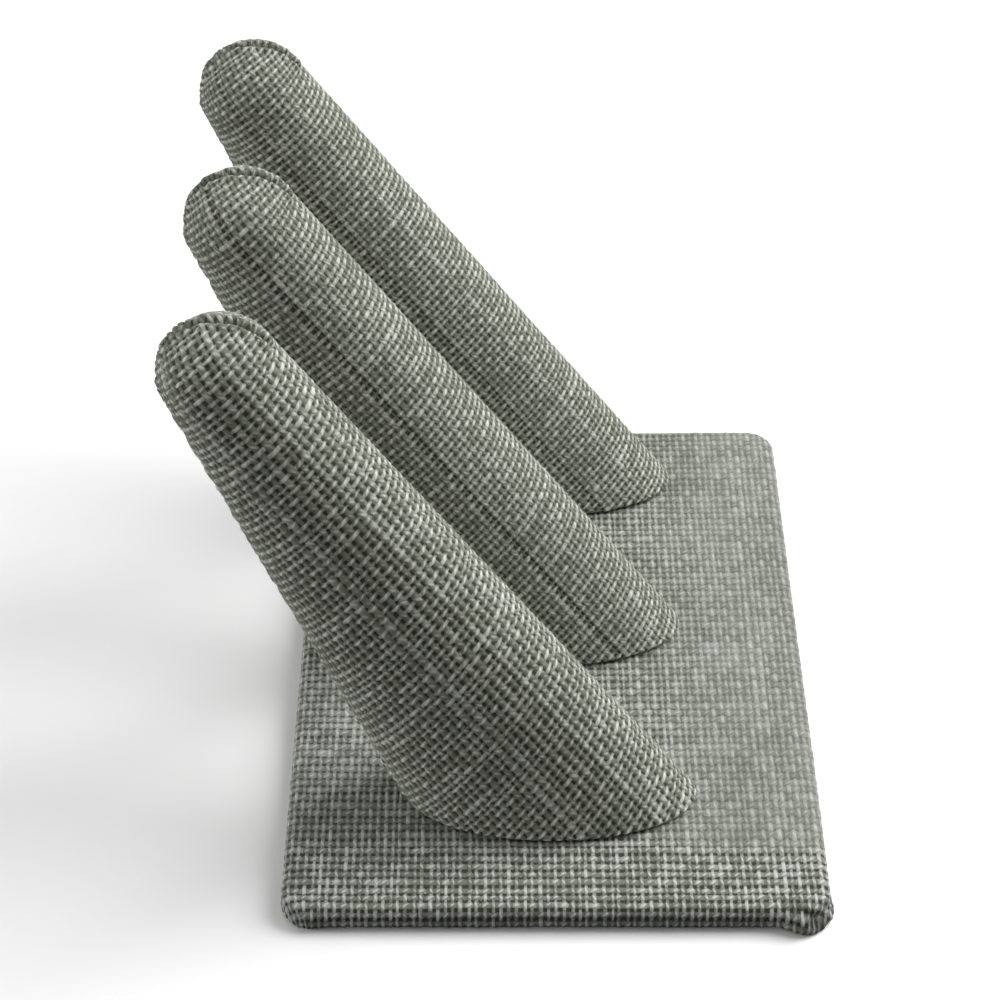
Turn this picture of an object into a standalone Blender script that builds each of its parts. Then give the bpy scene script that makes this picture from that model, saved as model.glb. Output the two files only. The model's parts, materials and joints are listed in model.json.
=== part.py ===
"""Ring display stand: three cloth-covered fingers leaning over a thin cloth-covered base.

The board, the finger cores and their covers are separate pieces. X is across the base, the fingers
lean towards -X, Y runs along the row of fingers, and Z is up from the underside.
"""
import math

import bmesh
import bpy
from mathutils import Matrix, Vector

# Cloth and the room left between pieces that touch
cloth = 0.0007
gap = 0.0003

# Base, over its cloth
base_width = 0.070
base_length = 0.104
base_corner = 0.0042
base_edge = 0.0014
board_thickness = 0.0020
base_hem = 0.012
corner_fold = 0.0011

# Fingers, over their cloth; the foot is measured square to the finger's middle line
finger_reach = 0.0763
tip_radius = 0.0074
foot_half_depth = 0.0166
foot_half_width = 0.0097
end_finger_inset = 0.0175
row_back = 0.0040
row_left = 0.0019
foot_hem = 0.0045

# The seam that closes each cover over its tip and down its underside
seam_half = 0.0006
seam_depth = 0.00032
seam_lip = 0.00022

# Wood screws that hold each finger from below
screw_radius = 0.0015
screw_length = 0.0145
screw_point = 0.0035
screw_head_radius = 0.0029
screw_head_rim = 0.0003
screw_ahead = 0.0040
screw_behind = 0.0080
recess_width = 0.0007
recess_reach = 0.0016
recess_depth = 0.0009

# Each finger stands as it was fixed by hand: its place in the row, its lean from the base,
# its turn about the upright, and how far its foot sits off the row
fingers = {
    "front": (-1, 59.7, -1.8, 0.0003),
    "middle": (0, 60.3, 0.4, 0.0),
    "rear": (1, 59.5, -0.6, 0.0),
}

# Heights of the layers, from the underside up
board_bottom = cloth + gap
board_top = board_bottom + board_thickness
base_top = board_top + gap + cloth
foot_level = base_top + gap
core_level = foot_level + cloth + gap
screw_bottom = board_bottom

for old in list(bpy.data.objects):
    bpy.data.objects.remove(old, do_unlink=True)

parts = bpy.data.collections.new("ring_display_stand")
cutters = bpy.data.collections.new("cutters")
bpy.context.scene.collection.children.link(parts)
bpy.context.scene.collection.children.link(cutters)


def material(name, colour, roughness, metallic=0.0):
    made = bpy.data.materials.new(name)
    made.use_nodes = True
    shader = made.node_tree.nodes["Principled BSDF"]
    shader.inputs["Base Color"].default_value = (*colour, 1.0)
    shader.inputs["Roughness"].default_value = roughness
    shader.inputs["Metallic"].default_value = metallic
    made.diffuse_color = (*colour, 1.0)
    return made


base_linen = material("base_linen", (0.28, 0.29, 0.26), 0.92)
finger_linen = material("finger_linen", (0.22, 0.23, 0.20), 0.92)
lining_card = material("lining_card", (0.05, 0.05, 0.05), 0.95)
hardboard = material("hardboard", (0.24, 0.15, 0.08), 0.75)
beech = material("beech", (0.62, 0.42, 0.25), 0.6)
zinc_steel = material("zinc_steel", (0.62, 0.62, 0.60), 0.35, 1.0)


def add_object(name, bm, surface=None, collection=parts):
    """Put a bmesh into the scene as one named object."""
    bmesh.ops.remove_doubles(bm, verts=bm.verts, dist=1e-6)
    bmesh.ops.recalc_face_normals(bm, faces=bm.faces)
    mesh = bpy.data.meshes.new(name)
    bm.to_mesh(mesh)
    bm.free()
    obj = bpy.data.objects.new(name, mesh)
    collection.objects.link(obj)
    if surface:
        mesh.materials.append(surface)
    return obj


def round_off(obj, angle=35):
    obj.data.shade_smooth()
    obj.data.set_sharp_from_angle(angle=math.radians(angle))


def solidify(obj, group=None):
    """Give a skin the thickness of the cloth, towards its inside."""
    wall = obj.modifiers.new("cloth", "SOLIDIFY")
    wall.thickness = cloth
    wall.offset = -1.0
    wall.use_even_offset = True
    wall.use_rim = True
    if group:
        wall.vertex_group = group
        wall.thickness_vertex_group = 0.0


def cut(obj, cutter):
    hole = obj.modifiers.new(cutter.name, "BOOLEAN")
    hole.operation = "DIFFERENCE"
    hole.solver = "EXACT"
    hole.object = cutter


def as_cutter(obj):
    obj.hide_render = True
    obj.display_type = "WIRE"
    return obj


def slab(width, length, bottom, top, corner, edge=0.0):
    """A flat block with rounded corners seen from above, and rounded rims if edge is given."""
    bm = bmesh.new()
    bmesh.ops.create_cube(bm, size=1.0)
    bmesh.ops.scale(bm, vec=(width, length, top - bottom), verts=bm.verts)
    bmesh.ops.translate(bm, vec=(0, 0, (top + bottom) / 2), verts=bm.verts)
    upright = [e for e in bm.edges if abs(e.verts[0].co.z - e.verts[1].co.z) > (top - bottom) / 2]
    bmesh.ops.bevel(bm, geom=upright, offset=corner, offset_type="OFFSET", segments=6,
                    profile=0.5, affect="EDGES")
    if edge:
        flat = [f for f in bm.faces if abs(f.normal.z) > 0.9]
        rims = [e for e in bm.edges if len([f for f in e.link_faces if f in flat]) == 1]
        bmesh.ops.bevel(bm, geom=rims, offset=edge, offset_type="OFFSET", segments=3,
                        profile=0.5, affect="EDGES")
    return bm


def turned(name, outline, steps, surface=None, collection=parts):
    """Turn an outline of (radius, height), given from top to bottom, about the upright axis."""
    bm = bmesh.new()
    row = [bm.verts.new((radius, 0, height)) for radius, height in outline]
    for upper, lower in zip(row, row[1:]):
        bm.edges.new((upper, lower))
    mesh = bpy.data.meshes.new(name)
    bm.to_mesh(mesh)
    bm.free()
    obj = bpy.data.objects.new(name, mesh)
    collection.objects.link(obj)
    if surface:
        mesh.materials.append(surface)
    screw = obj.modifiers.new("turn", "SCREW")
    screw.axis = "Z"
    screw.angle = math.tau
    screw.steps = screw.render_steps = steps
    screw.use_merge_vertices = True
    screw.merge_threshold = 1e-6
    screw.use_smooth_shade = False
    return obj


# Where the fingers stand, and the two screws of each

def finger_place(name):
    place, lean, turn, off = fingers[name]
    return math.radians(lean), math.radians(turn), -row_left + off, row_back + place * (base_length / 2 - end_finger_inset)


def screw_places(name):
    _, turn, x, y = finger_place(name)
    along = Vector((math.cos(turn), math.sin(turn)))
    return [Vector((x, y)) + along * ahead for ahead in (screw_ahead, -screw_behind)]


# Base board: hardboard with countersunk holes on its underside

board_inset = 2 * (cloth + gap)
board = add_object("base_board", slab(base_width - board_inset, base_length - board_inset, board_bottom,
                                      board_top, base_corner - cloth - gap, 0.0004), hardboard)

# Base cover: one piece of linen over the board, its hem turned under on all four sides

bm = slab(base_width, base_length, 0.0, base_top, base_corner, base_edge)
under = max((f for f in bm.faces if f.normal.z < -0.9), key=lambda f: f.calc_area())
bmesh.ops.delete(bm, geom=[under], context="FACES_ONLY")
hem = bmesh.ops.extrude_edge_only(bm, edges=[e for e in bm.edges if e.is_boundary])["geom"]
hem_x, hem_y = base_width / 2 - base_hem, base_length / 2 - base_hem
for v in (g for g in hem if isinstance(g, bmesh.types.BMVert)):
    v.co.x = math.copysign(hem_x, v.co.x)
    v.co.y = math.copysign(hem_y, v.co.y)
# The surplus cloth of the folded front corners stands out a little below their tops
for side, amount in ((1, corner_fold), (-1, corner_fold * 0.35)):
    middle = Vector((side * (base_width / 2 - base_corner), -(base_length / 2 - base_corner), 0))
    for v in bm.verts:
        away = v.co - middle
        flat_away = Vector((away.x * side, -away.y))
        outer = min(flat_away.x, flat_away.y) > -1e-6 and flat_away.length > base_corner * 0.6
        if outer and v.co.z < base_top * 0.8:
            low = 1.0 - 0.5 * v.co.z / base_top
            push = amount * low
            v.co.x += side * push * flat_away.x / flat_away.length
            v.co.y -= push * flat_away.y / flat_away.length
base_cover = add_object("base_cover", bm, base_linen)
solidify(base_cover)

# Lining: a card sheet that fills the underside inside the hem

lining_inset = 2 * (base_hem + gap)
lining_corner = 0.0010
add_object("base_lining", slab(base_width - lining_inset, base_length - lining_inset, 0.0, cloth,
                               lining_corner), lining_card)


# Fingers

def finger_skin(inset, lean, level, seam=False):
    """A finger's open skin, inset from the outside of its cover, in the finger's own frame.

    The finger runs up its own Z from its foot. The foot is cut along the base, and level is how
    far above the finger's origin that cut lies.
    """
    radius = tip_radius - inset
    depth = foot_half_depth - inset
    width = foot_half_width - inset
    bm = bmesh.new()
    bmesh.ops.create_uvsphere(bm, u_segments=24, v_segments=14, radius=radius)
    bmesh.ops.rotate(bm, verts=bm.verts, cent=(0, 0, 0), matrix=Matrix.Rotation(math.pi / 2, 3, "X"))
    bmesh.ops.bisect_plane(bm, geom=bm.verts[:] + bm.edges[:] + bm.faces[:], dist=1e-7,
                           plane_co=(0, 0, 0), plane_no=(0, 0, 1), clear_inner=True)
    bmesh.ops.translate(bm, verts=bm.verts, vec=(0, 0, finger_reach))
    rim = [e for e in bm.edges if e.is_boundary]
    round_rim = {v: v.co.copy() for e in rim for v in e.verts}
    rings = 6
    longest = finger_reach + foot_half_depth * 1.2
    for ring in range(1, rings + 1):
        down = longest * ring / rings
        wider = (1 + (depth - radius) / radius * down / finger_reach)
        broader = (1 + (width - radius) / radius * down / finger_reach)
        made = bmesh.ops.extrude_edge_only(bm, edges=rim)["geom"]
        new_verts = [g for g in made if isinstance(g, bmesh.types.BMVert)]
        old_of = {}
        for v in new_verts:
            link = next(e.other_vert(v) for e in v.link_edges if e.other_vert(v) in round_rim)
            old_of[v] = round_rim[link]
        for v, start in old_of.items():
            v.co = Vector((start.x * wider, start.y * broader, finger_reach - down))
        round_rim = old_of
        rim = [g for g in made if isinstance(g, bmesh.types.BMEdge) and g.is_boundary
               and all(v in old_of for v in g.verts)]
    up = Vector((math.cos(lean), 0, math.sin(lean)))
    bmesh.ops.bisect_plane(bm, geom=bm.verts[:] + bm.edges[:] + bm.faces[:], dist=1e-7,
                           plane_co=up * level, plane_no=up, clear_inner=True)
    return bm, up


def foot_points(bm):
    return [v for v in bm.verts if any(e.is_boundary for e in v.link_edges)]


def place_finger(obj, name, height):
    lean, turn, x, y = finger_place(name)
    obj.location = (x, y, height)
    obj.rotation_euler = (0, lean - math.pi / 2, turn)
    return obj


for name in fingers:
    lean, turn, _, _ = finger_place(name)

    # Cover: linen folded along the finger's upper side, sewn over the tip and down the underside
    bm, up = finger_skin(0.0, lean, 0.0)
    foot_loop = [e for e in bm.edges if e.is_boundary]
    along = Vector((math.sin(lean), 0, -math.cos(lean)))
    reach = [v.co.dot(along) for v in foot_points(bm)]
    middle, half = (max(reach) + min(reach)) / 2, (max(reach) - min(reach)) / 2
    narrow_x = (half - foot_hem) / half
    narrow_y = (foot_half_width - foot_hem) / foot_half_width
    turned_under = bmesh.ops.extrude_edge_only(bm, edges=foot_loop)["geom"]
    for v in (g for g in turned_under if isinstance(g, bmesh.types.BMVert)):
        a, b = v.co.dot(along), v.co.y
        v.co = along * (middle + (a - middle) * narrow_x) + Vector((0, b * narrow_y, 0))
    bmesh.ops.recalc_face_normals(bm, faces=bm.faces)
    seam_edges = [e for e in bm.edges
                  if all(abs(v.co.y) < 1e-6 and v.co.dot(up) > 1e-5 for v in e.verts)
                  and (min(v.co.z for v in e.verts) > finger_reach - 1e-5
                       or max(v.co.x for v in e.verts) < 0)]
    bmesh.ops.bevel(bm, geom=seam_edges, offset=seam_half, offset_type="OFFSET", segments=2,
                    profile=0.5, affect="EDGES")
    bm.normal_update()
    weight = bm.verts.layers.deform.verify()
    sewn = []
    for v in bm.verts:
        on_seam = v.co.z > finger_reach - 1e-5 or v.co.x < 0
        if not on_seam or v.co.dot(up) < cloth * 2:
            continue
        if abs(v.co.y) < seam_half * 0.3:
            sewn.append(v)
        elif abs(v.co.y) < seam_half * 1.3:
            v.co += v.normal * seam_lip
    for v in bm.verts:
        v[weight][0] = 1.0
    for v in sewn:
        v.co -= v.normal * seam_depth
        v[weight][0] = (cloth - seam_depth) / cloth
    cover = add_object(name + "_finger_cover", bm, finger_linen)
    cover.vertex_groups.new(name="cloth thickness")
    solidify(cover, "cloth thickness")
    place_finger(cover, name, foot_level)
    round_off(cover, 50)

    # Core: turned and flattened wood, cut square to the base, with a pilot hole for each screw
    bm, up = finger_skin(cloth + gap, lean, core_level - foot_level)
    bmesh.ops.holes_fill(bm, edges=[e for e in bm.edges if e.is_boundary], sides=0)
    core = add_object(name + "_finger_core", bm, beech)
    place_finger(core, name, foot_level)
    round_off(core, 50)

    # Screws, from below through the board and both cloths into the core
    for end, spot in zip(("fore", "aft"), screw_places(name)):
        head_depth = screw_head_radius - screw_radius
        tip = screw_bottom + screw_length
        outline = [(0, tip), (screw_radius * 0.55, tip - screw_point * 0.45),
                   (screw_radius, tip - screw_point),
                   (screw_radius, screw_bottom + screw_head_rim + head_depth),
                   (screw_head_radius, screw_bottom + screw_head_rim),
                   (screw_head_radius, screw_bottom), (0, screw_bottom)]
        screw = turned(name + "_finger_screw_" + end, outline, 16, zinc_steel)
        screw.location = (spot.x, spot.y, 0)
        screw.data.shade_smooth()
        screw.data.set_sharp_from_angle(angle=math.radians(30))
        for quarter in (0, 1):
            bm = bmesh.new()
            bmesh.ops.create_cube(bm, size=1.0)
            size = (2 * recess_reach, recess_width, 2 * recess_depth)
            bmesh.ops.scale(bm, verts=bm.verts, vec=size)
            slot = as_cutter(add_object("recess_%s_%s_%d" % (name, end, quarter), bm, collection=cutters))
            slot.location = (spot.x, spot.y, screw_bottom)
            slot.rotation_euler = (0, 0, quarter * math.pi / 2)
            cut(screw, slot)

        clear = screw_radius + gap
        sink = screw_head_radius + gap
        shaft = turned("shaft_%s_%s" % (name, end),
                       [(0, tip + gap), (clear, tip + gap), (clear, screw_bottom + sink - clear + gap),
                        (sink, screw_bottom + gap), (sink, 0.5 * cloth), (0, 0.5 * cloth)],
                       16, collection=cutters)
        shaft.location = (spot.x, spot.y, 0)
        as_cutter(shaft)
        for piece in (board, base_cover, core):
            cut(piece, shaft)
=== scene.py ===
"""Ring display stand: three fingers in linen sleeves, leaning over a base wrapped in the same linen."""
import json
import math

import bmesh
import bpy
import numpy as np
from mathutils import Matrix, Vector

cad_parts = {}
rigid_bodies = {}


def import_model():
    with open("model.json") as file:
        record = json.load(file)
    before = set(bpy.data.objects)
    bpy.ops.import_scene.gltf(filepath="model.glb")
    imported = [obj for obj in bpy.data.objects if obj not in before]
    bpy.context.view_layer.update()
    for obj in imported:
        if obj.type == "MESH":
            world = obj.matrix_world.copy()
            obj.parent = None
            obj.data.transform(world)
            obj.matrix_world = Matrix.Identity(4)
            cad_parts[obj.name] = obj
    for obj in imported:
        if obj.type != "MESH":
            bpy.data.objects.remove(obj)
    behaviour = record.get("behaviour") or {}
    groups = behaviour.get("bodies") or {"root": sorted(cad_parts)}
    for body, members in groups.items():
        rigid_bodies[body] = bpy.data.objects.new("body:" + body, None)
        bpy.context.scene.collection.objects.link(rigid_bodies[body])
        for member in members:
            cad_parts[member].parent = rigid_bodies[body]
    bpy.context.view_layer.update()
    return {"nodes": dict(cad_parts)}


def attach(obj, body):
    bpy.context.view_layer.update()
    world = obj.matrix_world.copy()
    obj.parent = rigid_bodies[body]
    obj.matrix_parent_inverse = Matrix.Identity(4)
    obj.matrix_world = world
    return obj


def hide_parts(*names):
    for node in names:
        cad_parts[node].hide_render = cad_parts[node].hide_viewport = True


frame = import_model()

for shown in bpy.data.objects:
    shown.select_set(False)

# ---------------------------------------------------------------------------------------------
# Base cover
# One piece of slubby grey-green linen in plain weave, stretched over the base board. Its hem is
# turned under on all four sides and glued, with mitred corners; the surplus cloth of the front
# corners is folded in and stands out a little below their tops.

mm = 0.001
base_width, base_length = 70 * mm, 104 * mm
base_top = 4 * mm
base_corner = 4.2 * mm
base_edge = 1.4 * mm
base_hem = 12 * mm
cloth = 0.7 * mm
base_yarns = (1.0 * mm, 1.42 * mm)

# A yarn's half width as a share of its room, how unlike the two directions are, how much each yarn
# varies, how round it stands, how far it rises and dips as it goes over and under its neighbours,
# and how its twist slants each float
yarn_half = 0.305
yarn_uneven = 0.20
yarn_vary = 0.20
yarn_round = 0.18 * mm
yarn_wave = 0.05 * mm
yarn_slant = 0.45
weave_floor = -0.34 * mm


def chance(*numbers):
    """The same number from 0 to 1 each time for the same whole numbers."""
    mixed = sum(n * k for n, k in zip(numbers, (12.9898, 78.233, 37.719)))
    return np.modf(np.abs(np.sin(mixed) * 43758.5453))[0]


def along_yarn(index, place, length, kind):
    """A number from -1 to 1 that changes smoothly along each yarn."""
    step = place / length
    low = np.floor(step)
    part = step - low
    part = part * part * (3 - 2 * part)
    here, there = chance(index, low, kind), chance(index, low + 1, kind)
    return 2 * (here + (there - here) * part) - 1


def slub(index, place, kind):
    """How much thicker than usual a yarn is, at a place along it: mostly thin, with a few thick stretches."""
    whole = 2 * chance(index, 5, kind) - 1
    usual = 0.5 * along_yarn(index, place, 8.0, kind) + 0.5 * along_yarn(index, place, 1.7, kind + 3)
    thick = np.clip(along_yarn(index, place, 4.0, kind + 9) - 0.66, 0, 1) / 0.34
    return 0.42 * whole + 0.50 * usual + 0.95 * thick + np.where(whole > 0.88, 0.6, 0.0)


def wander(across, along, kind):
    """How far the yarns stray sideways from even spacing, in yarns."""
    low = np.floor(across)
    part = across - low

    def stray(index):
        return (0.18 * (chance(index, 3, kind) - 0.5) * 2 + 0.08 * along_yarn(index, along, 11.0, kind + 1)
                + 0.06 * along_yarn(index, along, 2.6, kind + 2))

    return stray(low) * (1 - part) + stray(low + 1) * part


def weave(a, b, kind, slender, dense=0.0, bold=None):
    """Height of the cloth's face below its crowns at yarn place (a, b), and both yarns' thickness.

    Lengthwise yarns lie on whole numbers of a and cross yarns on whole numbers of b. slender is 1
    where the lengthwise yarns are the thinner and -1 where the cross yarns are. bold says how much
    thicker or thinner some lengthwise yarns are than the rest.
    """
    i, j = np.round(a), np.round(b)
    fa, fb = a - i, b - j
    over = np.where(np.mod(i + j, 2) < 0.5, 1.0, -1.0)
    slub_length, slub_cross = slub(i, b, kind) + dense, slub(j, a, kind + 20) + dense
    for index, more in (bold or {}).items():
        slub_length = slub_length + np.where(i == index, more, 0.0)
    fa, fb = (fa + yarn_slant * np.sin(2 * np.pi * fb) / (2 * np.pi),
              fb - yarn_slant * np.sin(2 * np.pi * fa) / (2 * np.pi))
    half_length = yarn_half * (1 - yarn_uneven * slender) * (1 + yarn_vary * slub_length)
    half_cross = yarn_half * (1 + yarn_uneven * slender) * (1 + yarn_vary * slub_cross)
    bulge_length = np.sqrt(np.clip(1 - (fa / half_length) ** 2, 0, 1))
    bulge_cross = np.sqrt(np.clip(1 - (fb / half_cross) ** 2, 0, 1))
    length_face = np.where(bulge_length > 0, yarn_round * (bulge_length * (1 + 0.25 * slub_length) - 1)
                           + yarn_wave * (over * np.cos(np.pi * fb) - 1), weave_floor)
    cross_face = np.where(bulge_cross > 0, yarn_round * (bulge_cross * (1 + 0.25 * slub_cross) - 1)
                          + yarn_wave * (-over * np.cos(np.pi * fa) - 1), weave_floor)
    return np.maximum(np.maximum(length_face, cross_face), weave_floor), slub_length, slub_cross


def smooth(value, low, high):
    """0 below low, 1 above high, and an even curve between; the other way round where high is lower."""
    part = np.clip((value - low) / (high - low), 0, 1)
    return part * part * (3 - 2 * part)


def cloth_mesh(name, points, faces, yarns, slubs, seam_and_painted_shade):
    """A mesh of quads or triangles with its yarn places as a UV map, and its slubs and its painted shade of
    seams and creases as an attribute.
    """
    made = bpy.data.meshes.new(name)
    made.from_pydata(points.tolist(), [], faces.tolist())
    corners = np.empty(len(made.loops), dtype=np.int32)
    made.loops.foreach_get("vertex_index", corners)
    layer = made.uv_layers.new(name="yarns")
    layer.uv.foreach_set("vector", yarns[corners].astype(np.float32).ravel())
    thick = made.attributes.new("slubs", "FLOAT_VECTOR", "POINT")
    flat = np.column_stack([slubs, seam_and_painted_shade]).astype(np.float32)
    thick.data.foreach_set("vector", flat.ravel())
    made.validate()
    made.update()
    return made


def normals_of(points, faces):
    """Each point's normal, from the quads round it."""
    p = [points[faces[:, k]] for k in range(4)]
    face_normal = np.cross(p[2] - p[0], p[3] - p[1])
    total = np.zeros_like(points)
    for k in range(4):
        np.add.at(total, faces[:, k], face_normal)
    return total / np.maximum(np.linalg.norm(total, axis=1, keepdims=True), 1e-20)


# The cloth's flat places are wrapped over the base along this outline: flat top, rounded rim, side,
# rounded foot, hem, and last the cut edge turned up beside the lining
bend = base_edge * math.pi / 2
rim_start = base_corner - base_edge
side_start = rim_start + bend
side_end = side_start + base_top - 2 * base_edge
under_start = side_end + bend
hem_end = under_start + base_hem - base_edge
half_x, half_y = base_width / 2 - base_corner, base_length / 2 - base_corner


def outline(run):
    """Outward place and height at a run along the cloth from the corners' centre lines."""
    rim = (run - rim_start) / base_edge
    foot = (run - side_end) / base_edge
    out = np.select([run < rim_start, run < side_start, run < side_end, run < under_start],
                    [run, rim_start + base_edge * np.sin(rim), base_corner + 0 * run,
                     rim_start + base_edge * np.cos(foot)],
                    rim_start - (np.minimum(run, hem_end) - under_start))
    high = np.select([run < rim_start, run < side_start, run < side_end, run < under_start],
                     [base_top + 0 * run, base_top - base_edge * (1 - np.cos(rim)),
                      base_top - base_edge - (run - side_start), base_edge * (1 - np.sin(foot))],
                     np.maximum(run - hem_end, 0))
    return out, high


def on_base(s, t):
    """The place on the base of the cloth's flat place (s, t)."""
    past_x, past_y = np.maximum(np.abs(s) - half_x, 0), np.maximum(np.abs(t) - half_y, 0)
    run = np.hypot(past_x, past_y)
    out, high = outline(run)
    in_corner = (past_x > 0) & (past_y > 0)
    out = np.where(in_corner, np.maximum(out, 0), out)
    high = np.where(in_corner, np.where(run > under_start, 0, high), high)
    safe = np.maximum(run, 1e-12)
    x = np.minimum(np.abs(s), half_x) + out * past_x / safe
    y = np.minimum(np.abs(t), half_y) + out * past_y / safe
    # The hem's ends meet on the corner's diagonal
    x = np.where((past_y > 0) & ~in_corner & (out < 0), np.minimum(x, half_x + out), x)
    y = np.where((past_x > 0) & ~in_corner & (out < 0), np.minimum(y, half_y + out), y)
    return np.stack([np.copysign(x, s), np.copysign(y, t), high], axis=-1), run, past_x, past_y


def spaced_lines(half, yarn, each):
    """Lines across a row of yarns: each so many a yarn where the cloth shows, and one a yarn underneath."""
    seen, edge = int((half + under_start) / yarn) + 1, (half + hem_end) / yarn
    close = np.arange(-seen * each, seen * each + 1) / each
    far = np.arange(seen + 1, int(edge - 0.3) + 1)
    ends = np.array([edge, edge + cloth / yarn])
    return np.concatenate([-ends[::-1], -far[::-1], close, far, ends])


lines_a_yarn = (4, 3)
a_lines = spaced_lines(half_x, base_yarns[0], lines_a_yarn[0])
b_lines = spaced_lines(half_y, base_yarns[1], lines_a_yarn[1])
a, b = (g.ravel() for g in np.meshgrid(a_lines, b_lines, indexing="ij"))
inside_a = smooth(np.abs(a), a_lines[-1] - 1, a_lines[-1] - 4)
inside_b = smooth(np.abs(b), b_lines[-1] - 1, b_lines[-1] - 4)
flat_s = (a + wander(a, b, 1) * inside_a) * base_yarns[0]
flat_t = (b + wander(b, a, 2) * inside_b) * base_yarns[1]
points, run, past_x, past_y = on_base(flat_s, flat_t)

rows, columns = len(a_lines), len(b_lines)
index = np.arange(rows * columns).reshape(rows, columns)
quads = np.stack([index[:-1, :-1], index[1:, :-1], index[1:, 1:], index[:-1, 1:]], axis=-1).reshape(-1, 4)
normals = normals_of(points, quads)
# The cloth is closer set to the right, and pulled open along the front edge
behind_edge = smooth(flat_t, -45 * mm, -38 * mm)
close_right = 0.9 * smooth(flat_s, 12 * mm, 27 * mm)
close_bands = 0.4 * along_yarn(np.round(a / 9), b, 16.0, 77)
dense = (close_right + close_bands) * behind_edge - 0.45 * (1 - behind_edge)
height, slub_length, slub_cross = weave(a, b, 0, 1, dense)
under = smooth(run, side_end + bend * 0.5, under_start)
height = np.where(under > 0, np.minimum(height, 0), height)
height *= np.where(run > hem_end, 0.0, 1.0)

# Folded cloth at the front corners: a crease runs down across the corner, and below it the surplus
# stands out as a soft lobe, larger on the right
lobe_height, lobe_top, lobe_rise, lobe_fall = 1.15 * mm, 2.4 * mm, 1.6 * mm, 3 * mm
crease_top, crease_drop = 1.5 * mm, 3.9 * mm
crease_depth, crease_half, crease_depth_for_full_shade = 0.34 * mm, 0.45 * mm, 0.42 * mm
turn = np.degrees(np.arctan2(past_y, past_x))
front = (flat_t < 0) & (run > 0)
painted_crease_shade = np.zeros(len(a))
for side, amount in ((1, 1.0), (-1, 0.2)):
    here = front & (np.sign(flat_s) == side)
    crease_run = rim_start + crease_top + (80 - turn) / 60 * crease_drop
    spread = (smooth(turn, -45, 58) * smooth(np.abs(flat_s), half_x - 3.2 * mm, half_x + 1.0 * mm)
              * smooth(np.abs(flat_t), half_y - 4.0 * mm, half_y + 1.0 * mm))
    low_start = np.minimum(crease_run, rim_start + lobe_top)
    lobe = (lobe_height * smooth(run, low_start, low_start + lobe_rise)
            * (1 - smooth(run, under_start, under_start + lobe_fall)))
    crease = -crease_depth * np.exp(-((run - crease_run) / crease_half) ** 2) * smooth(turn, 16, 46)
    height += np.where(here, amount * spread * (lobe + crease), 0)
    # Painted shade: the crease is darkened in the cloth's colour in step with its depth
    painted_crease_shade = np.where(here, -amount * spread * crease / crease_depth_for_full_shade, painted_crease_shade)

points = points + normals * height[:, None]
points[:, 2] = np.maximum(points[:, 2], 0)
p = [points[quads[:, k]] for k in range(4)]
area = np.linalg.norm(np.cross(p[2] - p[0], p[3] - p[1]), axis=1)
quads = quads[area > 1e-11]
base_mesh = cloth_mesh("base_linen_wrap", points, quads, np.column_stack([a, b]),
                       np.column_stack([slub_length, slub_cross]), painted_crease_shade)


def put_in_scene(name, data):
    made = bpy.data.objects.new(name, data)
    bpy.context.scene.collection.objects.link(made)
    return made


base_wrap = put_in_scene("base_linen_wrap", base_mesh)
trimmed = bmesh.new()
trimmed.from_mesh(base_mesh)
bmesh.ops.remove_doubles(trimmed, verts=trimmed.verts, dist=2e-6)
bmesh.ops.delete(trimmed, geom=[v for v in trimmed.verts if not v.link_faces], context="VERTS")
# Where the folds of a mitre meet, an edge keeps its two largest faces
slivers = {f for e in trimmed.edges if len(e.link_faces) > 2
           for f in sorted(e.link_faces, key=lambda f: f.calc_area())[:-2]}
bmesh.ops.delete(trimmed, geom=list(slivers), context="FACES")
trimmed.to_mesh(base_mesh)
trimmed.free()
base_mesh.shade_smooth()


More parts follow.
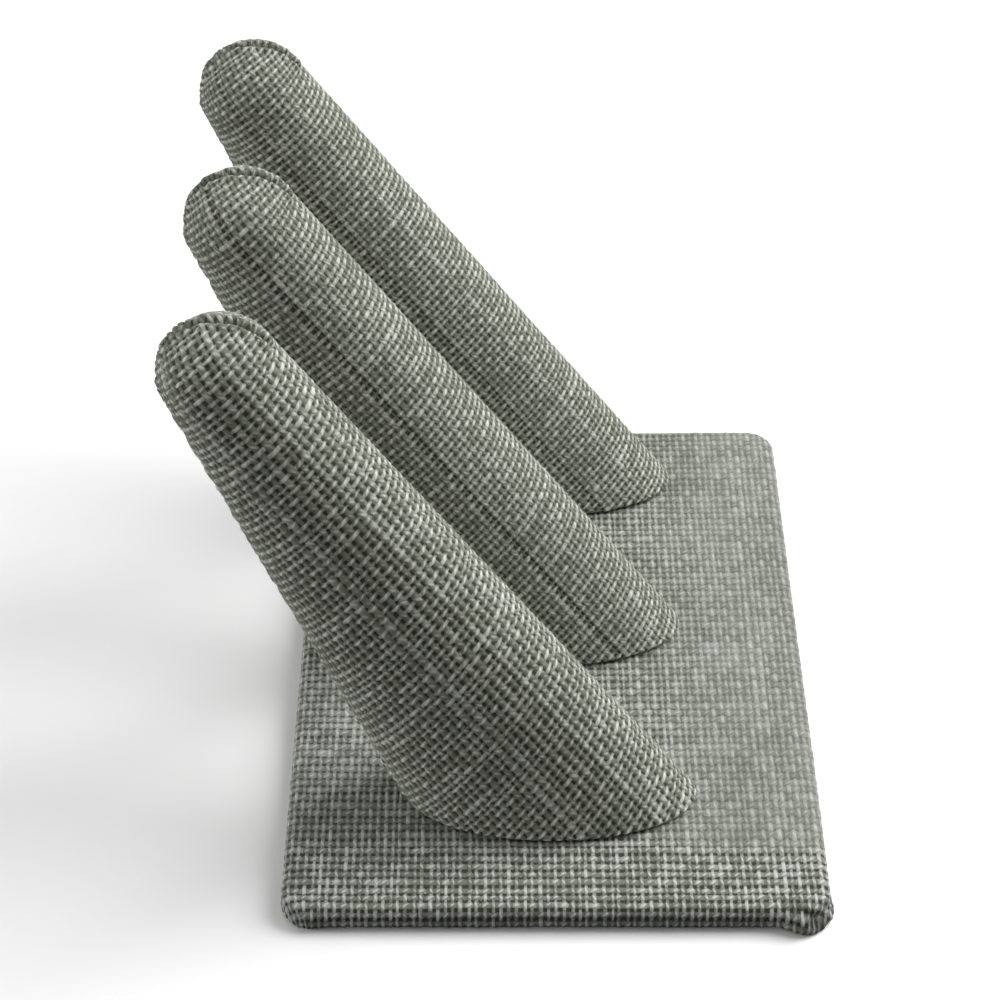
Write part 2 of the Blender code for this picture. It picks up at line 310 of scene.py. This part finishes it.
class Value:
    """An output of a material's nodes, which takes part in sums as a number does."""

    def __init__(self, tree, socket=None):
        self.tree, self.socket = tree, socket

    def node(self, kind, settings=None, inputs=None, result=0):
        made = self.tree.nodes.new("ShaderNode" + kind)
        for name, setting in (settings or {}).items():
            setattr(made, name, setting)
        for name, value in (inputs or {}).items():
            if isinstance(value, Value):
                self.tree.links.new(value.socket, made.inputs[name])
            else:
                made.inputs[name].default_value = value
        return Value(self.tree, made.outputs[result])

    def maths(self, operation, first, second=0.0):
        return self.node("Math", {"operation": operation}, {0: first, 1: second})

    def __add__(self, other): return self.maths("ADD", self, other)
    def __radd__(self, other): return self.maths("ADD", other, self)
    def __sub__(self, other): return self.maths("SUBTRACT", self, other)
    def __rsub__(self, other): return self.maths("SUBTRACT", other, self)
    def __mul__(self, other): return self.maths("MULTIPLY", self, other)
    def __rmul__(self, other): return self.maths("MULTIPLY", other, self)
    def __truediv__(self, other): return self.maths("DIVIDE", self, other)
    def __pow__(self, other): return self.maths("POWER", self, other)
    def __gt__(self, other): return self.maths("GREATER_THAN", self, other)
    def rounded(self): return self.maths("ROUND", self)
    def fraction(self): return self.maths("FRACT", self)
    def cosine(self): return self.maths("COSINE", self)
    def at_least(self, other): return self.maths("MAXIMUM", self, other)
    def between(self, low, high): return self.maths("MINIMUM", self.maths("MAXIMUM", self, low), high)
    def stepped(self, low, high, bottom=0.0, top=1.0):
        return self.node("MapRange", {"interpolation_type": "SMOOTHSTEP"},
                         {"Value": self, "From Min": low, "From Max": high, "To Min": bottom, "To Max": top})
    def at(self, x, y, z): return self.node("CombineXYZ", None, {0: x, 1: y, 2: z})
    def coordinate(self, which): return self.node("SeparateXYZ", None, {0: self}, which)
    def on_object(self): return self.node("TexCoord", result=3)
    def grain(self, place, scale, detail=2.0, rough=0.5):
        return self.node("TexNoise", None,
                         {"Vector": place, "Scale": scale, "Detail": detail, "Roughness": rough})
    def blend(self, under, over):
        under, over = (c if isinstance(c, Value) else (*c, 1) for c in (under, over))
        return self.node("Mix", {"data_type": "RGBA", "clamp_factor": True},
                         {0: self, 6: under, 7: over}, result=2)
    def bump(self, height, strength, distance):
        return self.node("Bump", None, {"Strength": strength, "Distance": distance, "Height": height})


def new_finish(name):
    made = bpy.data.materials.new(name)
    made.use_nodes = True
    shader = made.node_tree.nodes["Principled BSDF"]
    return made, shader, Value(made.node_tree)


def set_finish(shader, **inputs):
    """Sets or links a shader's sockets, each named with _ for its spaces."""
    for name, value in inputs.items():
        socket = shader.inputs[name.replace("_", " ")]
        if isinstance(value, Value):
            value.tree.links.new(value.socket, socket)
        else:
            socket.default_value = value


# How much wider a yarn is painted than it is built, how far its waves show in its paint, and the
# half width of the painted highlight along its crown as a share of its room
painted_wider, painted_wave, highlight_half = 1.04, 0.30, 0.26


def linen(name, thread, pale_thread, painted_shade_colour, slender, lead, lively, calm=0.0):
    """Plain-weave linen: twisted, slubby yarns over gaps, with painted shade in the gaps and on the yarns'
    sides and a painted highlight along each float's crown.

    lead is how much paler the slender yarns are than those they cross, lively is how much the yarns
    differ among themselves, and calm is how much less they do where the cloth is closer set, to the
    right and behind the front edge.
    """
    made, shader, value = new_finish(name)
    place = value.node("UVMap", {"uv_map": "yarns"})
    a, b = place.coordinate(0), place.coordinate(1)
    # The attribute's third value is painted shade, in seams, creases and the sleeve's inner face
    slubs = value.node("Attribute", {"attribute_name": "slubs"}, None, 1)
    slub_length, slub_cross, seam_and_painted_shade = (slubs.coordinate(k) for k in range(3))
    i, j = a.rounded(), b.rounded()
    fa, fb = a - i, b - j
    over = 1.0 - ((i + j) * 0.5).fraction() * 4.0
    half_length = (slub_length * yarn_vary + 1.0) * (yarn_half * (1 - yarn_uneven * slender) * painted_wider)
    half_cross = (slub_cross * yarn_vary + 1.0) * (yarn_half * (1 + yarn_uneven * slender) * painted_wider)
    bulge_length = (1.0 - (fa / half_length) * (fa / half_length)).at_least(0.0) ** 0.5
    bulge_cross = (1.0 - (fb / half_cross) * (fb / half_cross)).at_least(0.0) ** 0.5
    rise_length, rise_cross = over * (fb * math.pi).cosine(), over * (fa * math.pi).cosine()
    length_face = bulge_length + rise_length * painted_wave
    cross_face = bulge_cross - rise_cross * painted_wave
    on_length = length_face > cross_face
    face = length_face.at_least(cross_face)
    # Fibres follow each yarn with its twist
    fibre_length = value.grain(value.at(a * 4.6 + b * 2.4, b * 1.7, 1.7), 1.0, 4.0, 0.68)
    fibre_cross = value.grain(value.at(a * 1.7, b * 4.6 - a * 2.4, 5.1), 1.0, 4.0, 0.68)
    fibre = on_length * (fibre_length - fibre_cross) + fibre_cross
    # Each float, where one yarn shows over the other, catches the light its own way
    float_tone = value.node("TexWhiteNoise", {"noise_dimensions": "3D"}, {"Vector": value.at(i, j, 0.5)})
    # Each yarn has its own tone, which drifts along it
    tone_length = value.grain(value.at(i * 3.71, b * 0.11, 2.0), 1.0, 2.0)
    tone_cross = value.grain(value.at(a * 0.11, j * 3.71, 9.0), 1.0, 2.0)
    tone = on_length * ((tone_length - 0.5) * 1.8 - (tone_cross - 0.5)) + (tone_cross - 0.5)
    thick = on_length * (slub_length - slub_cross) + slub_cross
    patch = value.grain(value.at(a * 0.05, b * 0.05, 3.0), 1.0, 2.0)
    # A painted highlight lies along each float's slanted crown
    slant_length = (fa + fb * yarn_slant) / highlight_half
    slant_cross = (fb - fa * yarn_slant) / highlight_half
    highlight_length = (1.0 - slant_length * slant_length).at_least(0.0) * rise_length.at_least(0.0)
    highlight_cross = (1.0 - slant_cross * slant_cross).at_least(0.0) * (rise_cross * -1.0).at_least(0.0)
    painted_highlight = highlight_length.at_least(highlight_cross)
    contrast = 1.0 - b.stepped(-31.0, -27.0) * (a.stepped(6.0, 26.0) * 0.5 + 0.5) * calm
    varied = ((fibre - 0.5) * 2.2 + tone * 0.70 + (float_tone - 0.5) * 0.9 + thick * 0.20
              + painted_highlight * painted_highlight * 1.2)
    pale = (varied * lively * contrast + (patch - 0.5) * 0.4 + (on_length - 0.5) * (lead * slender)
            + 0.22 - contrast * 0.08).between(0.0, 1.0)
    # Painted shade darkens the gaps between the yarns, the yarns' sides, and the seams, creases and inner
    # face marked in the slubs attribute
    painted_gap_shade = 1.0 - bulge_length.at_least(bulge_cross).stepped(0.05, 0.60)
    side = 1.0 - face.stepped(0.35, 1.15)
    shade = (painted_gap_shade * contrast * 0.92 + side * contrast * 0.42 + seam_and_painted_shade * 0.85).between(0.0, 1.0)
    set_finish(shader,
               Base_Color=shade.blend(pale.blend(thread, pale_thread), painted_shade_colour),
               Roughness=(fibre * 0.12 + 0.84), Sheen_Weight=0.16, Sheen_Roughness=0.45,
               Specular_IOR_Level=0.15,
               Normal=value.bump(face * 0.4 + fibre * 1.1, 0.8, 0.2 * mm))
    return made


base_linen = linen("base linen", thread=(0.165, 0.174, 0.146), pale_thread=(0.51, 0.523, 0.488),
                   painted_shade_colour=(0.040, 0.043, 0.031), slender=1, lead=0.18, lively=0.85, calm=0.62)
base_mesh.materials.append(base_linen)
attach(base_wrap, "root")
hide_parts("base_cover")
cut_square = (hem_end - under_start) ** 2 * 1.6
2 * (half_x + hem_end)
2 * (half_y + hem_end)
4 * (half_x + hem_end) * (half_y + hem_end) - 4 * cut_square

# ---------------------------------------------------------------------------------------------
# Finger covers
# A linen sleeve on each finger: one piece of the same cloth folded along the finger's upper side,
# cut to shape, sewn over the tip and down the underside, and turned right side out. The foot is
# turned under the core and pinched between it and the base.

finger_reach = 76.3 * mm
tip_radius = 7.4 * mm
foot_half_depth, foot_half_width = 16.6 * mm, 9.7 * mm
end_finger_inset = 17.5 * mm
row_back, row_left = 4.0 * mm, 1.9 * mm
foot_hem = 4.5 * mm
foot_roll = 0.55 * mm
foot_level = base_top + 0.3 * mm
# Each finger's place in the row, its lean from the base, its turn about the upright, how far its
# foot sits off the row; then the room of its lengthwise and its cross yarns, how many lines of mesh
# each lengthwise yarn gets, and how far the cross yarns sag towards the foot on their way to the seam
fingers = {
    "front": (-1, 59.7, -1.8, 0.3 * mm, 1.24 * mm, 1.06 * mm, 4, 0.34),
    "middle": (0, 60.3, 0.4, 0.0, 0.93 * mm, 1.06 * mm, 3, 0.20),
    "rear": (1, 59.5, -0.6, 0.0, 0.97 * mm, 1.00 * mm, 3, 0.13),
}

# Arc shares round the sleeve's cross-sections, from the round tip to the oval foot
row_count, turn_count = 48, 129
row_down = np.linspace(0, finger_reach * 1.35, row_count)
row_depth = tip_radius + (foot_half_depth - tip_radius) * row_down / finger_reach
row_width = tip_radius + (foot_half_width - tip_radius) * row_down / finger_reach
fine_turn = np.linspace(0, np.pi, 721)
arc_step = np.hypot(row_depth[:, None] * np.sin(fine_turn), row_width[:, None] * np.cos(fine_turn))
arc = np.concatenate([np.zeros((row_count, 1)), np.cumsum((arc_step[:, 1:] + arc_step[:, :-1]) / 2
                                                          * (fine_turn[1] - fine_turn[0]), axis=1)], axis=1)
half_round = arc[:, -1]
shares = np.linspace(0, 1, turn_count)
turn_at = np.array([np.interp(shares, line / line[-1], fine_turn) for line in arc])
# The flat cut of one half is a slice of a fan that ends in the tip's round
fan_slope = np.interp(finger_reach, row_down, half_round) - half_round[0]
fan_angle = fan_slope / finger_reach
fan_start = half_round[0] / fan_angle


def on_sleeve(length, across):
    """The place on one half of the sleeve of a flat place, measured along and square to the fold."""
    ray, swing = np.hypot(length, across), np.arctan2(across, length)
    down = ray - fan_start
    share = swing / fan_angle
    # Flank
    folded = np.abs(share)
    folded = np.where(folded > 1, 2 - folded, folded)
    row = np.clip(down, 0, row_down[-1]) / row_down[-1] * (row_count - 1)
    low = np.minimum(row.astype(int), row_count - 2)
    spot = np.clip(folded, 0, 1) * (turn_count - 1)
    left = np.minimum(spot.astype(int), turn_count - 2)
    row_part, spot_part = row - low, spot - left
    turn = ((turn_at[low, left] * (1 - spot_part) + turn_at[low, left + 1] * spot_part) * (1 - row_part)
            + (turn_at[low + 1, left] * (1 - spot_part) + turn_at[low + 1, left + 1] * spot_part) * row_part)
    facing = np.where((share < 0) | (share > 1), -1, 1)
    depth = tip_radius + (foot_half_depth - tip_radius) * down / finger_reach
    width = tip_radius + (foot_half_width - tip_radius) * down / finger_reach
    flank = np.stack([depth * np.cos(turn), width * np.sin(turn) * facing, finger_reach - down], axis=-1)
    # Tip
    up, over = fan_start - ray, (fan_angle / 2 - swing) * fan_start
    lean_out, around = np.hypot(up, over) / tip_radius, np.arctan2(up, over)
    tip = np.stack([np.sin(lean_out) * np.cos(around), np.cos(lean_out), np.sin(lean_out) * np.sin(around)],
                   axis=-1) * tip_radius + np.array([0, 0, finger_reach])
    kept = np.where(down >= 0, (share > -0.06) & (share < 1.06) & (down < row_down[-1]),
                    lean_out < math.pi / 2 + 0.14)
    return np.where(down[..., None] >= 0, flank, tip), kept


# How far the cloth is laid out across from the fold, and along it above and below the tip's joint,
# before it is cut; and the round that the sagging yarns make at the fold
laid_across, laid_above, laid_below = 46 * mm, 24 * mm, 92 * mm
fold_round = 4 * mm


def half_sleeve(lean, kind, length_room, cross_room, each, sag):
    """One half of the sleeve, cut at the seam plane and above the foot: its points, normals, yarn
    places and faces."""
    a_lines = np.arange(-each, int(laid_across / length_room) * each) / each
    b_low, b_high = -laid_above / cross_room, laid_below / cross_room
    b_lines = np.arange(int(b_low) * 4, int(b_high) * 4) / 4
    a, b = (g.ravel() for g in np.meshgrid(a_lines, b_lines, indexing="ij"))
    across = (a + wander(a, b, kind) * smooth(a, 0, 3)) * length_room
    length = fan_start + (b + wander(b, a, kind + 4)) * cross_room
    down_share = np.clip(b * cross_room / finger_reach, 0, 1)
    length += sag * (0.3 + 0.7 * down_share) * (np.hypot(across, fold_round) - fold_round)
    points, kept = on_sleeve(length, across)
    rows, columns = len(a_lines), len(b_lines)
    index = np.arange(rows * columns).reshape(rows, columns)
    quads = np.stack([index[:-1, :-1], index[:-1, 1:], index[1:, 1:], index[1:, :-1]], axis=-1).reshape(-1, 4)
    quads = quads[kept[quads].all(axis=1)]
    used, quads = np.unique(quads, return_inverse=True)
    quads = quads.reshape(-1, 4)
    points, a, b = points[used], a[used], b[used]

    bm = bmesh.new()
    place = bm.verts.layers.float_vector.new("place")
    made = [bm.verts.new(p) for p in points.tolist()]
    for v, x, y in zip(made, a.tolist(), b.tolist()):
        v[place] = (x, y, 0)
    for q in quads.tolist():
        bm.faces.new([made[k] for k in q])
    bmesh.ops.bisect_plane(bm, geom=bm.verts[:] + bm.edges[:] + bm.faces[:], dist=1e-8,
                           plane_co=(0, 0, 0), plane_no=(0, 1, 0), clear_inner=True)
    # Finer faces beside the seam, for its groove and lips
    for off in (0.22 * mm, 0.62 * mm):
        near = [f for f in bm.faces if min(v.co.y for v in f.verts) < off < max(v.co.y for v in f.verts)
                and (f.calc_center_median().x < 0 or f.calc_center_median().z > finger_reach)]
        near = set(near) | {e for f in near for e in f.edges} | {v for f in near for v in f.verts}
        bmesh.ops.bisect_plane(bm, geom=list(near), dist=1e-8, plane_co=(0, off, 0), plane_no=(0, 1, 0))
    up = Vector((math.cos(lean), 0, math.sin(lean)))
    bmesh.ops.bisect_plane(bm, geom=bm.verts[:] + bm.edges[:] + bm.faces[:], dist=1e-8,
                           plane_co=up * foot_roll, plane_no=up, clear_inner=True)
    for v in bm.verts:
        if v.co.y < 0.02 * mm:
            v.co.y = 0
    bmesh.ops.remove_doubles(bm, verts=bm.verts, dist=8e-6)
    bmesh.ops.delete(bm, geom=[f for f in bm.faces if all(v.co.y < 1e-9 for v in f.verts)], context="FACES")
    bmesh.ops.delete(bm, geom=[v for v in bm.verts if not v.link_faces], context="VERTS")
    bm.normal_update()
    bm.verts.index_update()
    points = np.array([v.co for v in bm.verts])
    normals = np.array([v.normal for v in bm.verts])
    places = np.array([v[place] for v in bm.verts])[:, :2]
    faces = [[v.index for v in f.verts] for f in bm.faces]
    bm.free()
    normals[points[:, 1] < 1e-9, 1] = 0
    normals /= np.linalg.norm(normals, axis=1, keepdims=True)
    return points, normals, places, faces


# The seam's stitches, its groove, the lips beside it and the shade painted into it
stitch = 1.05 * mm
groove_half, lip_place, lip_half, seam_shade_half = 0.42 * mm, 1.0 * mm, 0.50 * mm, 0.52 * mm


def seam(points):
    """Height that the seam adds, a groove between two lips over the tip and down the underside, and
    how much shade is painted into its groove."""
    off, x, z = np.abs(points[:, 1]), points[:, 0], points[:, 2] - finger_reach
    seam_and_painted_shade = np.where(x < 0, 1.0, smooth(z, -1.0 * mm, 1.6 * mm))
    along = np.where(z > 0, np.arctan2(x, z) * tip_radius, -z - tip_radius * math.pi / 2)
    beat = along_yarn(0 * along, along, stitch, 31)
    groove = -(0.60 + 0.06 * beat) * mm * np.exp(-(off / groove_half) ** 2)
    lip = (0.46 + 0.12 * beat) * mm * np.exp(-((off - lip_place) / lip_half) ** 2)
    return seam_and_painted_shade * (groove + lip), seam_and_painted_shade * np.exp(-(off / seam_shade_half) ** 2) * (1.0 + 0.25 * beat)


# Lengthwise yarns that stand out on each finger's front side, counted from its fold: a thick one,
# or a thin one whose wider gaps, with their painted shade, show as a dark line
bold_yarns = {
    "front": {-6: 1.2, -7: -1.7, -10: -1.0, -11: -0.9, -12: 0.9},
    "middle": {-11: 1.3, -12: -2.6, -13: 1.2},
    "rear": {-12: 1.2, -13: -1.8},
}

finger_linen = linen("finger linen", thread=(0.175, 0.186, 0.144), pale_thread=(0.64, 0.66, 0.60),
                     painted_shade_colour=(0.055, 0.060, 0.042), slender=-1, lead=0.40, lively=0.56)

# The foot's turns, as shares of its roll: how far down, and how far in
foot_turns = ((0.5, 0.13), (0.87, 0.5), (1.0, 1.0), (1.0, foot_hem / foot_roll),
              (-cloth / foot_roll, foot_hem / foot_roll))
# The mesh of the cloth's inner face: points round it, and steps down its tip and its flank
round_count, tip_steps, flank_steps = 48, 6, 8

for order, (name, (place_in_row, lean_angle, turn_angle, shift, *cloth_room)) in enumerate(fingers.items()):
    lean, turn = math.radians(lean_angle), math.radians(turn_angle)
    kind = 40 + 7 * order
    half_points, half_normals, places, half_faces = half_sleeve(lean, kind, *cloth_room)
    count = len(half_points)
    points, yarns, slubs, faces = [], [], [], []
    for side in (1, -1):
        own_places = places * np.array([side, -1])
        height, slub_length, slub_cross = weave(own_places[:, 0], own_places[:, 1], kind, -1,
                                                bold=bold_yarns[name])
        sewn_height, seam_and_painted_shade = seam(half_points)
        height = height * (1 - 0.8 * seam_and_painted_shade) + sewn_height
        if side > 0:
            first_height = height
        height = np.where(half_points[:, 1] < 1e-9, first_height, height)
        placed = (half_points + half_normals * height[:, None]) * np.array([1, side, 1])
        points.append(placed)
        yarns.append(own_places)
        slubs.append(np.column_stack([slub_length, slub_cross, seam_and_painted_shade]))
        start = 0 if side > 0 else count
        faces += [[start + k for k in (face if side > 0 else face[::-1])] for face in half_faces]
    points, yarns, slubs = (np.concatenate(g) for g in (points, yarns, slubs))

    sleeve_mesh = bpy.data.meshes.new(name + "_linen_sleeve")
    bm = bmesh.new()
    place = bm.verts.layers.float_vector.new("place")
    thick = bm.verts.layers.float_vector.new("slubs")
    made = [bm.verts.new(p) for p in points.tolist()]
    for v, yarn, own_slubs in zip(made, yarns.tolist(), slubs.tolist()):
        v[place] = (*yarn, 0)
        v[thick] = own_slubs
    uv = bm.loops.layers.uv.new("yarns")
    for face in faces:
        made_face = bm.faces.new([made[k] for k in face])
        for corner in made_face.loops:
            corner[uv].uv = corner.vert[place].xy
    bmesh.ops.remove_doubles(bm, verts=[v for v in bm.verts if abs(v.co.y) < 1e-9], dist=1e-7)

    # The foot rolls under and runs in to the cut edge of its hem
    up = Vector((math.cos(lean), 0, math.sin(lean)))
    along = Vector((math.sin(lean), 0, -math.cos(lean)))
    rim = [e for e in bm.edges if e.is_boundary]
    reach = [v.co.dot(along) for e in rim for v in e.verts]
    middle, half = (max(reach) + min(reach)) / 2, (max(reach) - min(reach)) / 2
    start = {v: (v.co.copy(), v[place].copy()) for e in rim for v in e.verts}
    for drop, pull in foot_turns:
        grown = bmesh.ops.extrude_edge_only(bm, edges=rim)["geom"]
        fresh = {v for v in grown if isinstance(v, bmesh.types.BMVert)}
        origin = {v: start[next(e.other_vert(v) for e in v.link_edges if e.other_vert(v) in start)]
                  for v in fresh}
        for v, (co, yarn) in origin.items():
            p, q = co.dot(along) - middle, co.y
            out = (along * (p / half ** 2) + Vector((0, q / foot_half_width ** 2, 0))).normalized()
            inward = min(pull * foot_roll, 0.93 * math.hypot(p, q))
            v.co = co - out * inward - up * (foot_roll * (drop if drop > 0 else 1 + drop))
            v[place] = yarn - Vector((0, (pull * 0.6 + 0.5) * foot_roll / cloth_room[1], 0))
        for face in (f for f in grown if isinstance(f, bmesh.types.BMFace)):
            for corner in face.loops:
                corner[uv].uv = corner.vert[place].xy
        start = {v: (start_co, yarn) for v, (start_co, yarn) in origin.items()}
        rim = [e for e in grown if isinstance(e, bmesh.types.BMEdge) and all(v in fresh for v in e.verts)]

    # The cloth's inner face, a cloth's thickness inside
    inner = tip_radius - cloth
    wide_x = (foot_half_depth - tip_radius) / finger_reach
    wide_y = (foot_half_width - tip_radius) / finger_reach
    circle = [(math.cos(k * math.tau / round_count), math.sin(k * math.tau / round_count))
              for k in range(round_count)]
    rings = []
    for step in range(tip_steps + 1):
        tilt = math.pi / 2 * step / tip_steps
        rings.append([(inner * math.sin(tilt) * cos, inner * math.sin(tilt) * sin,
                       finger_reach + inner * math.cos(tilt)) for cos, sin in circle])
    for step in range(1, flank_steps + 1):
        ring = []
        for cos, sin in circle:
            # Where this line of the inner face meets the level of the turned-under hem's inner side
            rise = up.x * (inner * cos) + up.z * finger_reach - cloth
            down_end = rise / (up.z - up.x * wide_x * cos)
            down = down_end * step / flank_steps
            ring.append(((inner + wide_x * down) * cos, (inner + wide_y * down) * sin, finger_reach - down))
        rings.append(ring)
    inner_verts = [[bm.verts.new(p) for p in (ring if n else ring[:1])] for n, ring in enumerate(rings)]
    # Painted shade: the inner face is painted all in the linen's shade colour
    for ring in inner_verts:
        for v in ring:
            v[thick] = (0, 0, 1)
    for n in range(1, len(rings)):
        upper, lower = inner_verts[n - 1], inner_verts[n]
        for k in range(round_count):
            following = (k + 1) % round_count
            if n == 1:
                bm.faces.new((upper[0], lower[following], lower[k]))
            else:
                bm.faces.new((upper[k], upper[following], lower[following], lower[k]))
    foot_ring = {frozenset((inner_verts[-1][k - 1], inner_verts[-1][k])) for k in range(round_count)}
    foot_edges = [e for e in bm.edges if frozenset(e.verts) in foot_ring]
    bmesh.ops.bridge_loops(bm, edges=rim + foot_edges)
    bm.to_mesh(sleeve_mesh)
    bm.free()
    sleeve_mesh.shade_smooth()
    sleeve = put_in_scene(name + "_linen_sleeve", sleeve_mesh)
    sleeve.rotation_euler = (0, lean - math.pi / 2, turn)
    sleeve.location = (-row_left + shift, row_back + place_in_row * (base_length / 2 - end_finger_inset),
                       foot_level)
    bpy.context.view_layer.update()
    sleeve_mesh.transform(sleeve.matrix_world)
    sleeve.rotation_euler, sleeve.location = (0, 0, 0), (0, 0, 0)
    sleeve_mesh.materials.append(finger_linen)
    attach(sleeve, "root")
    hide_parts(name + "_finger_cover")

# ---------------------------------------------------------------------------------------------
# Base board
# A thin panel of hardboard, sawn to size with rounded corners, stiffens the base. The linen hides
# all of it; the screws pass up through it into the fingers.


def dress(node, finish):
    for held in frame["nodes"][node].material_slots:
        held.material = finish


hardboard, shader, value = new_finish("hardboard")
place = value.on_object()
fibre = value.grain(place, 850.0, 5.0, 0.7)
patch = value.grain(place, 60.0, 2.0)
pale = (fibre * 0.8 + patch * 0.5 - 0.15).between(0.0, 1.0)
set_finish(shader, Base_Color=pale.blend((0.10, 0.055, 0.028), (0.27, 0.165, 0.088)),
           Roughness=fibre * 0.25 + 0.55, Normal=value.bump(fibre, 0.5, 0.1 * mm))
dress("base_board", hardboard)

# ---------------------------------------------------------------------------------------------
# Base lining
# Black card glued to the underside of the board inside the turned hem. It closes the underside and
# covers the screw heads.

card, shader, value = new_finish("black card")
place = value.on_object()
fibre = value.grain(place, 2200.0, 4.0, 0.7)
cloud = value.grain(place, 45.0, 3.0)
pale = (fibre * 0.6 + cloud * 0.7 - 0.15).between(0.0, 1.0)
set_finish(shader, Base_Color=pale.blend((0.010, 0.010, 0.011), (0.032, 0.032, 0.033)),
           Roughness=cloud * 0.2 + 0.62, Normal=value.bump(fibre, 0.35, 0.06 * mm))
dress("base_lining", card)

# ---------------------------------------------------------------------------------------------
# Finger cores
# Each finger is turned from beech and sanded to an oval foot, cut at the slant that makes it lean.
# The grain runs along the finger. The linen sleeve hides all of it.

beech, shader, value = new_finish("beech")
place = value.on_object()
upright = value.node("VectorRotate", {"rotation_type": "Y_AXIS"},
                     {"Vector": place, "Angle": math.radians(30)})
along_grain = value.node("VectorMath", {"operation": "MULTIPLY"}, {0: upright, 1: (1, 1, 0.07)})
rings = value.grain(along_grain, 260.0, 3.0, 0.6)
fleck = value.grain(along_grain, 1900.0, 2.0, 0.5)
pale = (rings * 1.5 - fleck.stepped(0.62, 0.72) * 0.35 - 0.2).between(0.0, 1.0)
set_finish(shader, Base_Color=pale.blend((0.42, 0.25, 0.135), (0.64, 0.44, 0.27)),
           Roughness=rings * 0.2 + 0.45, Normal=value.bump(rings + fleck * 0.5, 0.25, 0.08 * mm))
for name in fingers:
    dress(name + "_finger_core", beech)

# ---------------------------------------------------------------------------------------------
# Screws
# Two zinc-plated countersunk wood screws hold each finger, driven up through the base board before
# the lining was glued on.

zinc, shader, value = new_finish("zinc-plated steel")
place = value.on_object()
cloud = value.grain(place, 900.0, 4.0, 0.6)
set_finish(shader, Base_Color=cloud.blend((0.50, 0.51, 0.50), (0.70, 0.71, 0.69)), Metallic=1.0,
           Roughness=cloud * 0.30 + 0.22)
for name in fingers:
    for where in ("fore", "aft"):
        dress(name + "_finger_screw_" + where, zinc)

# ---------------------------------------------------------------------------------------------
# Camera, light and floor
# The photograph was taken from a little left of the base's middle, looking 37 degrees down, with
# a long lens. Soft light comes from above and from the right.

floor_reach, floor_level = 3, -0.05 * mm
floor_mesh = bpy.data.meshes.new("floor")
floor_mesh.from_pydata([(x * floor_reach, y * floor_reach, floor_level)
                        for x, y in ((-1, -1), (1, -1), (1, 1), (-1, 1))], [], [(0, 1, 2, 3)])
floor = put_in_scene("floor", floor_mesh)
floor_finish, shader, value = new_finish("pale floor")
set_finish(shader, Base_Color=(0.86, 0.86, 0.86, 1), Roughness=0.9)
floor_mesh.materials.append(floor_finish)
floor.visible_diffuse = False


def soft_light(name, place, aim, size, power):
    lamp = bpy.data.lights.new(name, "AREA")
    lamp.shape, lamp.size, lamp.energy = "DISK", size, power
    lit = put_in_scene(name, lamp)
    lit.location = place
    lit.rotation_euler = (Vector(aim) - Vector(place)).to_track_quat("-Z", "Y").to_euler()


soft_light("key", place=(0.44, 0.12, 0.48), aim=(0, 0, 0.02), size=0.60, power=6.3)
soft_light("fill", place=(-0.5, -0.10, 0.06), aim=(0, 0, 0.03), size=0.34, power=2.0)
# The room is paler overhead and behind than below and in front
world = bpy.data.worlds.new("studio")
world.use_nodes = True
background = world.node_tree.nodes["Background"]
value = Value(world.node_tree)
facing = value.node("TexCoord")
behind, overhead = facing.coordinate(1), facing.coordinate(2)
set_finish(background, Color=(1, 1, 1, 1),
           Strength=(overhead + behind * 0.5).stepped(-0.7, 0.9, 0.08, 0.54))
bpy.context.scene.world = world
bpy.context.scene.view_settings.view_transform = "Standard"

eye = bpy.data.cameras.new("camera")
eye.lens, eye.sensor_width, eye.clip_start, eye.clip_end = 101.1, 36, 0.01, 20
camera = put_in_scene("camera", eye)
camera.location = (-7.11 * mm, -302.77 * mm, 257.55 * mm)
camera.rotation_euler = (math.radians(53), 0, 0)
bpy.context.scene.camera = camera
